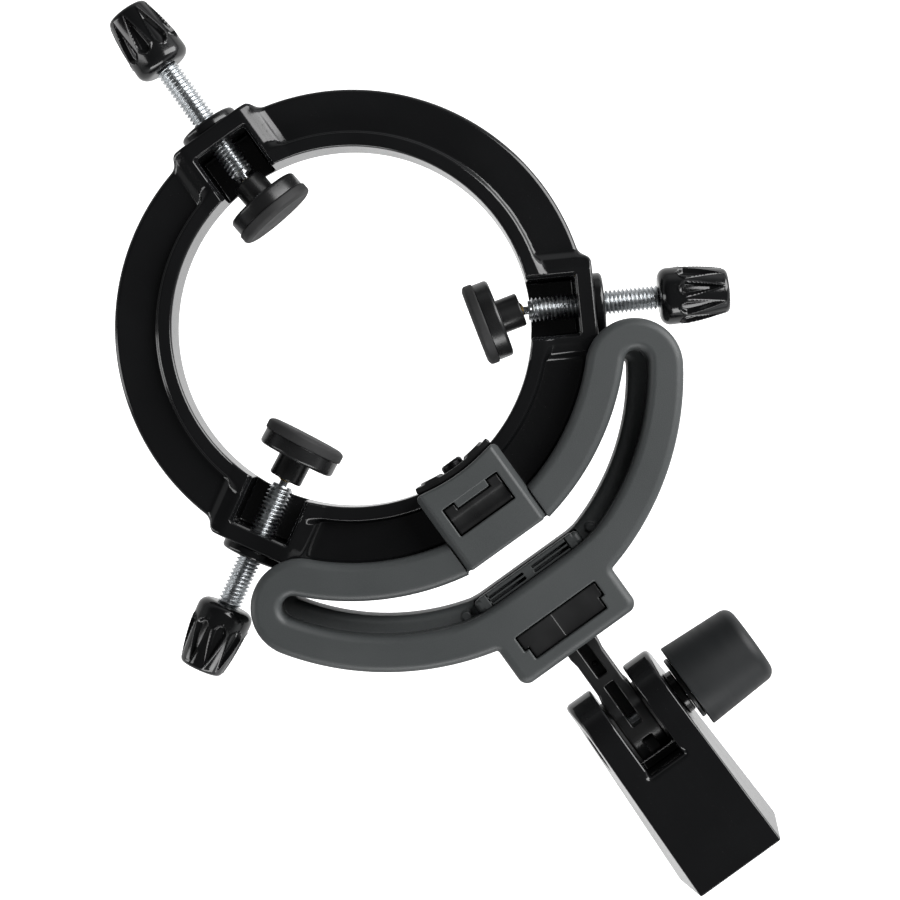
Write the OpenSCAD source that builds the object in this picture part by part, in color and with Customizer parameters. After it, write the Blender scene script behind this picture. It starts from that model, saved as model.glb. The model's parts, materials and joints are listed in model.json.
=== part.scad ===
// Three-screw centring ring holder on a tilting clamp base.
// The ring's axis is Z and its centre is the origin. The hinge and the block lie along -Y.

/* [Ring] */
// Outer radius of the ring's flange
ring_r = 57; // [54:0.5:60]
// Radius of the hole through the ring
hole_r = 43; // [41:0.5:44]
// Outer radius of the raised lip round the hole
lip_r = 46.6; // [46:0.2:48]
// Height of the ring, from its back to the lip
ring_h = 16; // [16:0.5:20]
// Step down from the lip to the flange's face
lip_step = 2.5; // [1:0.5:4]
// Wall thickness of the moulded parts
wall = 2.6; // [2:0.2:3]

/* [Screw bosses] */
// Distance from the ring's centre to a boss's outer face
boss_r = 58.4; // [58:0.2:60]
// Width of a boss
boss_w = 23.2; // [22:0.4:25]
// Width of the pocket in a boss
pocket_w = 14.6; // [14:0.2:16]
// Thickness of the wall that holds the threaded bush
bush_wall = 4.4; // [3:0.2:6]
// Diameter of the bush's collar
collar_d = 14.8; // [13:0.2:15.6]

/* [Thumbscrews] */
// Thread diameter of the screw rod
rod_d = 5.9; // [5:0.1:6]
// Largest diameter of the thumb knob
thumb_d = 13.8; // [12:0.2:14]
// Length of the thumb knob
thumb_l = 17; // [14:1:20]
// Distance from the ring's centre to each knob's base, first the screw opposite the hinge
thumb_r = [77.1, 73.3, 74]; // [62:0.1:78]
// Distance from the ring's centre to each pad's swivel centre, in the same order
swivel_r = [42, 38.2, 38.9]; // [26.5:0.1:42.3]
// Diameter of the pad's hard disc
pad_d = 19.2; // [16:0.2:20]
// How far each pad is swivelled at rest, starting at the screw opposite the hinge
pad_tilt = [5, -3.4, 15.4]; // [-17:0.1:17]

/* [Yoke] */
// Inner radius of the yoke's front shell
yoke_in_r = 56.3; // [56:0.1:56.6]
// Width of the yoke's inner rail
rail_w = 8.9; // [8:0.1:9.2]
// Outer radius of the yoke's front shell, about its own centre
yoke_out_r = 70.4; // [69.8:0.2:70.6]
// Distance of that centre from the ring's centre
yoke_out_s = 14.3; // [14:0.1:15]
// Radius of the slot's outer edge, about its own centre
slot_out_r = 63.1; // [62.8:0.1:63.8]
// Distance of that centre from the ring's centre
slot_out_s = 12.7; // [12.4:0.1:13.2]
// Height of the front shell's back edge above the ring's mid-plane
shell_z = 8.2; // [8.2:0.2:9]
// Height of the front shell
shell_h = 6; // [5:0.2:7]
// Depth of the rear frame below the ring's mid-plane
frame_z = 8; // [7:0.5:9]

/* [Arm and hinge] */
// Distance from the ring's centre to the hinge axis
hinge_s = 117.2; // [116:0.2:118]
// Width of the arm
arm_w = 8.4; // [7:0.1:8.4]
// Radius of the arm's eye
eye_r = 8.6; // [8:0.2:10]
// Radius of the hinge bolt
bolt_r = 3; // [3:0.1:3.2]

/* [Block] */
// Distance from the ring's centre to the block's end
block_end_s = 158.3; // [150:0.1:165]
// Depth of the block, front to back
block_d = 25; // [24:0.5:28]
// Radius of the socket for a stand's spigot
socket_r = 8; // [7.5:0.1:8.2]
// Depth of that socket
socket_l = 26; // [20:1:27]

/* [Hidden] */
$fn = 64;
eps = 0.01;
gap = 0.05;            // radial clearance of a running fit

screw_angles = [90, 210, 330];
top_z = ring_h / 2;
flange_z = top_z - lip_step;
pocket_r = boss_r - bush_wall;
shell_top = shell_z + shell_h;
slot_in_r = yoke_in_r + rail_w;

// ---------- shared shapes ----------

// A rectangle with round corners, centred on the origin
module round_rect(w, h, r) {
    square([w - 2 * r, h], center = true);
    square([w, h - 2 * r], center = true);
    for (x = [-1, 1], y = [-1, 1])
        translate([x * (w / 2 - r), y * (h / 2 - r)]) circle(r);
}

// A washer or tube on Z, from z = 0 up
module tube(r_out, r_in, h) {
    difference() {
        cylinder(r = r_out, h = h);
        translate([0, 0, -1]) cylinder(r = r_in, h = h + 2);
    }
}

// Place a child, drawn with +X pointing outwards, at one of the three screws
module at_screw(k) {
    rotate([0, 0, screw_angles[k]]) children();
}

// Turn a child drawn on Z so that it lies on X
module along_x() {
    rotate([0, 90, 0]) children();
}

// Centre of a circle of radius r that touches the inner circle (radius r_in about the
// origin) from outside and the outer circle (radius r_out about s) from inside
function touch_s(r_in, r_out, s, r) =
    (pow(r_in + r, 2) - pow(r_out - r, 2) + s * s) / (2 * s);
function touch_t(r_in, r_out, s, r) =
    sqrt(pow(r_in + r, 2) - pow(touch_s(r_in, r_out, s, r), 2));

// A crescent below the ring with round ends of radius r
module crescent(r_in, r_out, s, r) {
    cs = touch_s(r_in, r_out, s, r);
    ct = touch_t(r_in, r_out, s, r);
    reach = 90 / (r_out - r);
    out_t = ct * reach;
    out_s = s + (cs - s) * reach;
    intersection() {
        difference() {
            translate([0, -s]) circle(r_out, $fn = 128);
            circle(r_in, $fn = 128);
        }
        polygon([
            [0, 0], [ct, -cs], [out_t, -out_s], [out_t, -130],
            [-out_t, -130], [-out_t, -out_s], [-ct, -cs]
        ]);
    }
    // a hair larger, so that the ends cross the edges instead of only touching them
    for (side = [-1, 1]) translate([side * ct, -cs]) circle(r + 0.04);
}

// ---------- ring ----------

channel_in_r = lip_r - 0.8;
channel_out_r = ring_r - wall;
channel_top = flange_z - wall;
rib_count = 18;
rib_t = 2;
lip_round = 0.6;
edge_round = 1;
saddle_hole_r = 1.6;

module ring_section() {
    h = top_z + flange_z;
    // body with a round outer edge
    translate([hole_r, -top_z]) square([ring_r - hole_r - edge_round, h]);
    translate([hole_r, -top_z]) square([ring_r - hole_r, h - edge_round]);
    translate([ring_r - edge_round, flange_z - edge_round]) circle(edge_round);
    // raised lip with round edges
    translate([hole_r, -top_z]) square([lip_r - hole_r, ring_h - lip_round]);
    translate([hole_r + lip_round, 0])
        square([lip_r - hole_r - 2 * lip_round, top_z]);
    for (r = [hole_r + lip_round, lip_r - lip_round])
        translate([r, top_z - lip_round]) circle(lip_round);
}

foot_w = 1.4;
foot_end = 1.2;

module boss_body() {
    half = boss_w / 2;
    foot = half + foot_w;
    shoulder = half - 0.8;
    rim = pocket_w / 2 + 1.2;
    bevel_z = top_z - 1.1;
    start_r = lip_r - 1;
    rotate([90, 0, 90]) translate([0, 0, start_r]) linear_extrude(boss_r - start_r)
        polygon([
            [-half, -top_z], [half, -top_z], [half, flange_z],
            [shoulder, bevel_z], [rim, top_z], [-rim, top_z],
            [-shoulder, bevel_z], [-half, flange_z]
        ]);
    // foot where the shoulder meets the flange
    rotate([90, 0, 90]) translate([0, 0, start_r]) linear_extrude(ring_r - start_r - foot_end)
        polygon([
            [-foot, -top_z], [foot, -top_z], [foot, flange_z],
            [shoulder, flange_z + 1], [-shoulder, flange_z + 1], [-foot, flange_z]
        ]);
}

module ring() {
    bush_r = 5;
    color([0.03, 0.03, 0.035])
    difference() {
        union() {
            difference() {
                rotate_extrude($fn = 128) ring_section();
                translate([0, 0, -top_z - 1]) difference() {
                    cylinder(r = channel_out_r, h = channel_top + top_z + 1, $fn = 128);
                    translate([0, 0, -1])
                        cylinder(r = channel_in_r, h = ring_h + 2, $fn = 128);
                }
            }
            for (i = [0 : rib_count - 1])
                rotate([0, 0, i * 360 / rib_count + 10])
                    translate([channel_in_r - 0.5, -rib_t / 2, -top_z + 2])
                        cube([channel_out_r - channel_in_r + 1, rib_t, channel_top + top_z - 1]);
            for (k = [0 : 2]) at_screw(k) intersection() {
                boss_body();
                translate([0, 0, -top_z]) tube(boss_r + 20, hole_r, ring_h, $fn = 128);
            }
            // solid seat under the clip
            intersection() {
                translate([-7, -channel_out_r - 1, -top_z + 2]) cube([14, 14, channel_top + top_z - 1]);
                translate([0, 0, -top_z]) tube(channel_out_r + 0.5, channel_in_r - 0.5, ring_h);
            }
        }
        for (k = [0 : 2]) at_screw(k) {
            translate([hole_r - 6, -pocket_w / 2, -top_z + wall])
                cube([pocket_r - hole_r + 6, pocket_w, ring_h]);
            translate([pocket_r - 1, 0, 0]) along_x() cylinder(r = bush_r, h = bush_wall + 2);
        }
        translate([0, -hole_r + 5, 0]) rotate([90, 0, 0])
            cylinder(r = saddle_hole_r, h = ring_r - hole_r + 10);
    }
}

// ---------- thumbscrews ----------

// Threaded bush with a round collar outside the boss
module bush(k) {
    collar_l = 2.3;
    collar_round = 0.8;
    bore_r = rod_d / 2 + gap;
    color([0.04, 0.04, 0.045])
    at_screw(k) translate([pocket_r, 0, 0]) along_x() difference() {
        rotate_extrude() {
            square([5, bush_wall + collar_l]);
            translate([0, bush_wall]) square([collar_d / 2, collar_l - collar_round]);
            translate([0, bush_wall])
                square([collar_d / 2 - collar_round, collar_l]);
            translate([collar_d / 2 - collar_round, bush_wall + collar_l - collar_round])
                circle(collar_round);
        }
        translate([0, 0, -1]) cylinder(r = bore_r, h = bush_wall + collar_l + 2);
    }
}

rod_gap = 3.5;
neck_r = 1;
rivet_r = 1.5;
rivet_l = 0.7;
rivet_at = -1.6;
spigot_r = 2.5;
spigot_l = 12;

// Screw rod: thread, slim neck and the riveted end that holds the ball
module screw_rod(k) {
    rod_start = swivel_r[k] + rod_gap;
    color([0.75, 0.76, 0.78])
    at_screw(k) {
        translate([rod_start, 0, 0]) along_x()
            cylinder(r = rod_d / 2, h = thumb_r[k] - rod_start);
        translate([thumb_r[k] - eps, 0, 0]) along_x()
            cylinder(r = spigot_r, h = spigot_l + eps);
        translate([swivel_r[k] + rivet_at, 0, 0]) along_x()
            cylinder(r = neck_r, h = rod_gap - rivet_at + eps);
        translate([swivel_r[k] + rivet_at, 0, 0]) along_x()
            cylinder(r = rivet_r, h = rivet_l);
    }
}

// Fluted thumb knob, a round taper with scalloped grips
module thumb_knob(k) {
    base_r = thumb_d / 2;
    tip_r = base_r - 1.6;
    base_round = 2.4;
    tip_round = 1.2;
    flutes = 9;
    flute_r = 1.2;
    flute_from = 5;
    lean = atan((base_r - tip_r) / (thumb_l - base_round));
    color([0.03, 0.03, 0.035])
    at_screw(k) translate([thumb_r[k], 0, 0]) along_x() difference() {
        rotate_extrude() difference() {
            union() {
                polygon([
                    [0, 0], [base_r - base_round, 0], [base_r - base_round, base_round],
                    [base_r, base_round], [tip_r, thumb_l - tip_round],
                    [tip_r - tip_round, thumb_l], [0, thumb_l]
                ]);
                translate([base_r - base_round, base_round]) circle(base_round);
                translate([tip_r - tip_round, thumb_l - tip_round]) circle(tip_round);
            }
            translate([-20, -1]) square([20, thumb_l + 2]);
        }
        translate([0, 0, -1]) cylinder(r = spigot_r, h = spigot_l + 1);
        for (i = [0 : flutes - 1])
            rotate([0, 0, i * 360 / flutes])
                translate([base_r + 0.45, 0, flute_from])
                    rotate([0, -lean, 0]) cylinder(r = flute_r, h = thumb_l);
    }
}

ball_r = 2.6;

// Ball that snaps over the rod's neck and lets the pad swivel
module swivel_ball(k) {
    seat_x = rivet_at + rivet_l + gap;
    color([0.8, 0.65, 0.3])
    at_screw(k) translate([swivel_r[k], 0, 0]) difference() {
        sphere(ball_r);
        along_x() cylinder(r = neck_r + gap, h = ball_r + 1);
        translate([-1, 0, 0]) along_x() cylinder(r = neck_r + gap, h = 2);
        translate([-ball_r - 1, 0, 0]) along_x()
            cylinder(r = rivet_r + gap, h = seat_x + ball_r + 1);
    }
}

stem_d = 8.2;
stem_top = 1.9;
disc_back = -3.5;
disc_front = -7.3;
facing_l = 2.8;
disc_round = 1;

// Place a child, drawn about the swivel centre with -X pointing at the load
module at_pad(k) {
    at_screw(k) translate([swivel_r[k], 0, 0]) rotate([0, 0, pad_tilt[k]]) children();
}

// Pad body: socketed stem and a hard disc with a dished back
module pad(k) {
    rim_t = 1.4;
    dish = 0.9;
    disc_r = pad_d / 2;
    color([0.05, 0.05, 0.055])
    at_pad(k) difference() {
        union() {
            translate([disc_front, 0, 0]) along_x() rotate_extrude() {
                h = disc_back - disc_front;
                square([disc_r, h - disc_round]);
                square([disc_r - disc_round, h]);
                translate([disc_r - disc_round, h - disc_round]) circle(disc_round);
            }
            translate([disc_back - 1, 0, 0]) along_x()
                cylinder(d = stem_d, h = stem_top - disc_back + 1);
        }
        translate([disc_back - dish, 0, 0]) along_x()
            tube(disc_r - rim_t, stem_d / 2, dish + 1);
        sphere(ball_r + gap);
    }
}

// Rubber facing bonded to the pad
module pad_facing(k) {
    facing_r = pad_d / 2 + 0.4;
    facing_round = 0.7;
    color([0.09, 0.09, 0.09])
    at_pad(k) translate([disc_front - facing_l, 0, 0]) along_x() rotate_extrude() {
        translate([0, facing_round]) square([facing_r, facing_l - facing_round]);
        square([facing_r - facing_round, facing_l]);
        translate([facing_r - facing_round, facing_round]) circle(facing_round);
    }
}

// ---------- yoke ----------

plate_w = 33.2;
plate_top_s = 76;
plate_end_s = 93.5;
plate_round = 2;
yoke_tip_r = 11.55;
slot_tip_r = 2.9;
slot_flat_s = 73.8;
shell_wall = 2.4;
window_w = 23.2;
window_top_s = 82.5;
window_mid_s = 86.6;
window_end_s = 89.55;
window_low_w = 20.8;
clip_w = 23.2;
clip_top_s = 41.8;
clip_end_s = 63.7;
screw_at = [[-33.4, 69.6], [33.4, 69.6], [-19.5, 76.8], [19.5, 76.8]];
post_r = 2.6;
shell_screw_r = 1.25;

module yoke_outline() {
    crescent(yoke_in_r, yoke_out_r, yoke_out_s, yoke_tip_r);
    translate([0, -(plate_top_s + plate_end_s) / 2])
        round_rect(plate_w, plate_end_s - plate_top_s, plate_round);
}

module slot_outline() {
    intersection() {
        crescent(slot_in_r, slot_out_r, slot_out_s, slot_tip_r);
        // straight in the middle
        translate([-80, -slot_flat_s]) square([160, 80]);
    }
}

// The lower window, with a shoulder on each side
module window_outline(grow = 0) {
    w = window_w + 2 * grow;
    low_w = window_low_w + 2 * grow;
    translate([-w / 2, -window_mid_s - grow])
        square([w, window_mid_s - window_top_s + 2 * grow]);
    translate([-low_w / 2, -window_end_s - grow])
        square([low_w, window_end_s - window_top_s + 2 * grow]);
}

// Front shell: a hollow crescent tray with the plate that holds the arm's head
module yoke_shell() {
    hollow_h = shell_h - shell_wall;
    color([0.28, 0.30, 0.30])
    difference() {
        translate([0, 0, shell_z]) linear_extrude(shell_h) difference() {
            yoke_outline();
            slot_outline();
            window_outline();
            // room for the clip, and a straight edge behind it
            translate([-clip_w / 2, -clip_end_s - 2]) square([clip_w, 22]);
        }
        // inside of the rails
        translate([0, 0, shell_z - 1]) linear_extrude(hollow_h + 1) difference() {
            crescent(yoke_in_r + shell_wall, yoke_out_r - shell_wall, yoke_out_s,
                yoke_tip_r - shell_wall);
            crescent(slot_in_r - shell_wall, slot_out_r + shell_wall, slot_out_s,
                slot_tip_r + shell_wall);
            translate([-plate_w / 2, -plate_end_s]) square([plate_w, 30]);
            translate([-clip_w / 2 - shell_wall, -slot_in_r]) square([clip_w + 2 * shell_wall, 20]);
            for (at = screw_at) translate([at.x, -at.y]) circle(post_r);
        }
        // recess for the arm's head and its neck
        translate([0, 0, shell_z - 1]) linear_extrude(hollow_h + 1)
            translate([-window_w / 2 - 1, -window_end_s - 1])
                square([window_w + 2, window_end_s - window_top_s + 2]);
        for (at = screw_at) translate([at.x, -at.y, shell_z - 1])
            cylinder(r = shell_screw_r, h = hollow_h + 1);
    }
}

frame_in_r = ring_r + gap;
frame_out_s = 25;
frame_out_r = 58.6;
frame_tip_r = 8;
frame_slot_r = 58.1;
frame_slot_s = 13.7;
frame_slot_tip_r = 1;
frame_flat_s = 70;
frame_flat_w = 30.4;
ledge_z = 3.6;
tang_w = arm_w;
tang_top_s = 77.5;
tang_h = 12;

stud_at = [18.2, 72.1];
stud_r = 1.2;
stud_h = 1.2;

// Outline of the rear frame, with its narrower slot
module frame_outline() {
    tab_w = 29;
    tab_end_s = 92;
    difference() {
        union() {
            crescent(frame_in_r, frame_out_r, frame_out_s, frame_tip_r);
            translate([-tab_w / 2, -tab_end_s]) square([tab_w, tab_end_s - 76]);
        }
        crescent(slot_in_r - 0.6, frame_slot_r, frame_slot_s, frame_slot_tip_r);
    }
    // straight land in the middle of the slot
    translate([-frame_flat_w / 2, -frame_flat_s - 6]) square([frame_flat_w, 6]);
}

// Hollow in the back of the outer rail
module frame_hollow() {
    reach_t = 38;
    difference() {
        translate([0, -frame_out_s]) circle(frame_out_r - wall);
        translate([0, -frame_slot_s]) circle(frame_slot_r + wall);
        for (side = [-1, 1])
            translate([side > 0 ? reach_t : -reach_t - 40, -100]) square([40, 100]);
        translate([-frame_flat_w / 2, -100]) square([frame_flat_w, 100]);
        for (at = screw_at) translate([at.x, -at.y]) circle(post_r + 1);
    }
}

// Rear frame: carries the ring's edge, the front shell and the arm's tang
module yoke_frame() {
    tongue_h = 2.6;
    tongue_reach = 3;
    color([0.28, 0.30, 0.30])
    difference() {
        union() {
            difference() {
                translate([0, 0, -frame_z]) linear_extrude(frame_z + shell_z) frame_outline();
                // ledge inside the slot
                translate([0, 0, ledge_z]) linear_extrude(shell_z) slot_outline();
            }
            // low studs on the ledge
            for (side = [-1, 1]) translate([side * stud_at.x, -stud_at.y, ledge_z - 1])
                cylinder(r = stud_r, h = stud_h + 1);
            // tongue behind the ring, under the clip
            translate([-clip_w / 2, -frame_in_r - tongue_reach, -top_z - tongue_h])
                cube([clip_w, frame_in_r + tongue_reach - hole_r, tongue_h]);
        }
        translate([0, 0, -frame_z - 1]) linear_extrude(frame_z + 1 + ledge_z - wall)
            frame_hollow();
        // pocket for the arm's tang
        translate([-tang_w / 2, -plate_end_s, -tang_h / 2])
            cube([tang_w, plate_end_s - tang_top_s, tang_h / 2 + shell_z + 1]);
        // seat of the grille
        translate([-grille_w / 2, -grille_end_s, 0])
            cube([grille_w, grille_end_s - grille_top_s, shell_z + 1]);
        // screws that hold the shell
        for (at = screw_at) translate([at.x, -at.y, -frame_z - 1]) {
            cylinder(r = shell_screw_r, h = 30);
            cylinder(r = shell_head_r, h = shell_head_at + 1);
        }
        // screws that hold the arm
        for (s = arm_screw_s) translate([0, -s, -frame_z - 1]) {
            cylinder(r = shell_screw_r, h = 10);
            cylinder(r = shell_head_r, h = 2.6);
        }
        // room for the ring's bosses and their feet
        for (k = [0 : 2]) at_screw(k) {
            translate([hole_r, -boss_w / 2 - 0.2, -top_z - 4])
                cube([boss_r - hole_r + 0.2, boss_w + 0.4, ring_h + 8]);
            translate([hole_r, -boss_w / 2 - foot_w - 0.2, -top_z - 4])
                cube([ring_r - hole_r + 0.5, boss_w + 2 * foot_w + 0.4, ring_h + 8]);
        }
        // seat of the clip, and a straight edge behind it
        translate([-clip_w / 2, -clip_end_s, top_z])
            cube([clip_w, clip_end_s, shell_h]);
        translate([-clip_w / 2, -clip_end_s - 2, -frame_z - 1])
            cube([clip_w, 2, frame_z + shell_top]);
        // end of the saddle screw
        translate([0, -frame_in_r + 1, 0]) rotate([90, 0, 0])
            cylinder(r = saddle_screw_r, h = saddle_screw_end - frame_in_r + 1);
    }
}

grille_w = 30;
grille_top_s = 70.3;
grille_end_s = 73.7;
grille_h = 8.4;

// Slotted strip in the middle of the slot
module slot_grille() {
    slit_from = 1.3;
    slit_to = 11.4;
    slit_s = [71.3, 72.4];
    slit_w = 0.7;
    color([0.3, 0.32, 0.32])
    difference() {
        translate([-grille_w / 2, -grille_end_s, 0])
            cube([grille_w, grille_end_s - grille_top_s, grille_h]);
        for (side = [-1, 1], s = slit_s)
            translate([side > 0 ? slit_from : -slit_to, -s - slit_w, grille_h - 3])
                cube([slit_to - slit_from, slit_w, 4]);
    }
}

clip_h = 7.4;
clip_in_r = 43.2;
saddle_t = 1.5;
saddle_r = hole_r;
saddle_h = 16;
saddle_half_angle = 14.5;

// Raised square cover that clamps the ring between shell and saddle
module clip_cover() {
    skirt = 1.6;
    top = shell_z + clip_h;
    length = clip_end_s - clip_top_s;
    mid_s = (clip_end_s + clip_top_s) / 2;
    color([0.28, 0.30, 0.30])
    difference() {
        union() {
            translate([0, -mid_s, top_z]) linear_extrude(top - top_z)
                round_rect(clip_w, length, 1.6);
            // skirts that reach down to the flange on both sides
            intersection() {
                translate([-clip_w / 2, -clip_end_s, flange_z])
                    cube([clip_w, length, top_z - flange_z + eps]);
                translate([0, 0, flange_z]) tube(yoke_in_r + 0.7, lip_r, 4, $fn = 128);
            }
        }
        // hollow inside
        translate([-clip_w / 2 + skirt, -clip_end_s + skirt, flange_z - 1])
            cube([clip_w - 2 * skirt, clip_end_s - hole_r - skirt - 2, top - flange_z - 1.2]);
        // edge that follows the ring's hole
        translate([0, 0, flange_z]) cylinder(r = clip_in_r, h = 20, $fn = 128);
        // window
        translate([-latch_w / 2, -latch_end_s, top - 4])
            cube([latch_w, latch_end_s - latch_top_s, 5]);
    }
    // tab that hangs into the window
    color([0.28, 0.30, 0.30])
    translate([-4.5, -latch_top_s - 1.7, top - 1.6]) cube([9, 1.8, 1.4]);
}

latch_w = 15.8;
latch_top_s = 48;
latch_end_s = 55.7;

// Black latch seen in the clip's window
module clip_latch() {
    slack = 0.35;
    top = shell_z + clip_h - 0.7;
    color([0.06, 0.06, 0.065])
    difference() {
        translate([-latch_w / 2 + slack, -latch_end_s + slack, flange_z])
            cube([latch_w - 2 * slack, latch_end_s - latch_top_s - 2 * slack, top - flange_z]);
        translate([-4.5 - slack, -latch_top_s - 2.1, top - 1.4]) cube([9 + 2 * slack, 3.8, 3]);
    }
}

// Curved saddle on the ring's inner wall
module clip_saddle() {
    color([0.05, 0.05, 0.055])
    difference() {
        rotate([0, 0, -90 - saddle_half_angle])
            rotate_extrude(angle = 2 * saddle_half_angle, $fn = 128)
                translate([saddle_r - saddle_t, -top_z]) square([saddle_t, saddle_h]);
        translate([0, -saddle_r + 4, 0]) rotate([90, 0, 0]) cylinder(r = saddle_hole_r, h = 8);
    }
}

saddle_screw_r = 1.5;
saddle_screw_end = 63;

// Pan-head screw that draws the saddle towards the yoke
module saddle_screw() {
    head_r = 2.8;
    head_l = 1.7;
    head_round = 0.8;
    head_at = saddle_r - saddle_t;
    color([0.04, 0.04, 0.045])
    translate([0, -head_at, 0]) rotate([90, 0, 0]) difference() {
        union() {
            translate([0, 0, -head_l]) rotate_extrude() {
                translate([0, head_round]) square([head_r, head_l - head_round]);
                square([head_r - head_round, head_l]);
                translate([head_r - head_round, head_round]) circle(head_round);
            }
            cylinder(r = saddle_screw_r, h = saddle_screw_end - head_at);
        }
        for (turn = [0, 90]) rotate([0, 0, turn])
            translate([-1.5, -0.35, -head_l - 1]) cube([3, 0.7, 1.9]);
    }
}

shell_head_r = 2.4;
shell_head_at = 4.4;

// Four screws from the back that close the yoke
module shell_screws() {
    head_l = 1.8;
    tip_z = shell_z + 3.2;
    head_z = -frame_z + shell_head_at - head_l;
    color([0.6, 0.6, 0.62])
    for (at = screw_at) translate([at.x, -at.y, head_z]) difference() {
        union() {
            cylinder(r = shell_head_r - 0.1, h = head_l);
            cylinder(r = shell_screw_r, h = tip_z - head_z);
        }
        for (turn = [0, 90]) rotate([0, 0, turn])
            translate([-1.3, -0.3, -1]) cube([2.6, 0.6, 1.9]);
    }
}

// ---------- arm and hinge ----------

arm_screw_s = [81, 87.5];
web_t = 3;
flange_t = 2.6;
beam_h = 12;

// Tilt arm: I-section beam with an eye below and a T-shaped head in the lower window
module arm() {
    pocket_t = (beam_h - web_t) / 2;
    recess_s = [[96, 102.3], [105, 116.4]];
    head_top = shell_top - 0.8;
    side = 0.25;
    color([0.05, 0.05, 0.055])
    difference() {
        union() {
            translate([-arm_w / 2, -hinge_s, -beam_h / 2])
                cube([arm_w, hinge_s - tang_top_s - side, beam_h]);
            translate([-arm_w / 2, -hinge_s, 0]) rotate([0, 90, 0]) cylinder(r = eye_r, h = arm_w);
            // neck up to the head
            translate([-arm_w / 2, -window_end_s, 0])
                cube([arm_w, window_end_s - window_top_s, shell_z + 2]);
            translate([0, 0, shell_z]) linear_extrude(head_top - shell_z) window_outline(-side);
        }
        translate([-arm_w, -hinge_s, 0]) rotate([0, 90, 0]) cylinder(r = bolt_r + gap, h = 2 * arm_w);
        // recesses between the two flanges, front and back
        for (face = [-1, 1], span = recess_s)
            translate([
                -arm_w / 2 + flange_t, -span[1],
                face > 0 ? web_t / 2 : -beam_h / 2 - 1
            ])
                cube([arm_w - 2 * flange_t, span[1] - span[0], pocket_t + 1]);
        for (s = arm_screw_s) translate([0, -s, -beam_h / 2 - 1])
            cylinder(r = shell_screw_r, h = 9);
    }
}

// Two screws from the back that hold the arm's tang
module arm_screws() {
    head_l = 1.4;
    head_z = -frame_z + 0.1;
    color([0.6, 0.6, 0.62])
    for (s = arm_screw_s) translate([0, -s, head_z]) {
        difference() {
            cylinder(r = shell_head_r - 0.1, h = head_l);
            for (turn = [0, 90]) rotate([0, 0, turn])
                translate([-1.3, -0.3, -1]) cube([2.6, 0.6, 1.9]);
        }
        cylinder(r = shell_screw_r, h = 8);
    }
}

gap_w = 9.6;
gap_end_s = 128.1;
gap_web_s = 123.4;
ear_top_s = 104.2;
block_front_top_w = 21.8;
block_front_end_w = 23.6;
block_back_top_w = 25;
block_back_end_w = 29;
washer_t = (gap_w - arm_w) / 2 - gap;
hex_r = 5.8;
hex_l = 4;
boss_face_t = 13.6;
boss_face_r = 5.6;

// Clamp block: two ears round the arm, tapered body, spigot socket in its end
module clevis_block() {
    half_d = block_d / 2;
    screw_s = block_end_s - socket_l / 2;
    color([0.03, 0.03, 0.035])
    difference() {
        union() {
            intersection() {
                hull() {
                    translate([0, -ear_top_s - 0.5, half_d - 0.5])
                        cube([block_front_top_w, 1, 1], center = true);
                    translate([0, -block_end_s + 0.5, half_d - 0.5])
                        cube([block_front_end_w, 1, 1], center = true);
                    translate([0, -ear_top_s - 0.5, -half_d + 0.5])
                        cube([block_back_top_w, 1, 1], center = true);
                    translate([0, -block_end_s + 0.5, -half_d + 0.5])
                        cube([block_back_end_w, 1, 1], center = true);
                }
                // side outline: round about the hinge
                translate([-40, 0, 0]) rotate([90, 0, 90]) linear_extrude(80) {
                    translate([-hinge_s, 0]) circle(hinge_s - ear_top_s, $fn = 96);
                    translate([-block_end_s, -half_d])
                        square([block_end_s - hinge_s, block_d]);
                }
            }
            // round boss under the thrust washer
            translate([gap_w / 2 + 1, -hinge_s, 0]) rotate([0, 90, 0])
                cylinder(r = boss_face_r, h = boss_face_t - gap_w / 2 - 1);
        }
        // gap for the arm, open to front and back, with a web behind its lower end
        translate([-gap_w / 2, -gap_web_s, -half_d - 1])
            cube([gap_w, gap_web_s - ear_top_s + 1, block_d + 2]);
        translate([-gap_w / 2, -hinge_s, 0]) rotate([0, 90, 0])
            cylinder(r = eye_r + 0.4, h = gap_w);
        translate([-gap_w / 2, -gap_end_s, 0])
            cube([gap_w, gap_end_s - hinge_s, half_d + 1]);
        // hinge bolt hole and hex seat
        translate([-20, -hinge_s, 0]) rotate([0, 90, 0]) cylinder(r = bolt_r + gap, h = 40);
        translate([-20, -hinge_s, 0]) rotate([0, 90, 0])
            cylinder(r = hex_r, h = 20 - gap_w / 2 - wall, $fn = 6);
        // socket and its clamp screw
        translate([0, -block_end_s - 1, 0]) rotate([-90, 0, 0])
            cylinder(r = socket_r, h = socket_l + 1);
        translate([0, -screw_s, -half_d - 1]) cylinder(r = spigot_screw_r, h = half_d);
    }
}

knob_at = 14.8;
bolt_end = 28;
insert_r = 4.6;
insert_l = 12;
insert_at = knob_at + 1;

// Hinge bolt with its hex head held in the far ear
module hinge_bolt() {
    head_from = -gap_w / 2 - wall - hex_l;
    color([0.7, 0.71, 0.73])
    translate([0, -hinge_s, 0]) rotate([0, 90, 0]) {
        translate([0, 0, head_from]) cylinder(r = hex_r - 0.1, h = hex_l, $fn = 6);
        translate([0, 0, head_from]) cylinder(r = bolt_r, h = bolt_end - head_from);
    }
}

// Two thin washers that rub between the arm's eye and the ears
module friction_washers() {
    color([0.5, 0.5, 0.5])
    for (side = [-1, 1])
        translate([side > 0 ? arm_w / 2 : -arm_w / 2 - washer_t, -hinge_s, 0])
            rotate([0, 90, 0]) tube(eye_r, bolt_r + gap, washer_t);
}

// Thrust washer that travels with the hinge knob
module thrust_washer() {
    color([0.05, 0.05, 0.055])
    translate([boss_face_t + gap, -hinge_s, 0]) rotate([0, 90, 0])
        tube(8.3, bolt_r + gap, knob_at - boss_face_t - 2 * gap);
}

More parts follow.
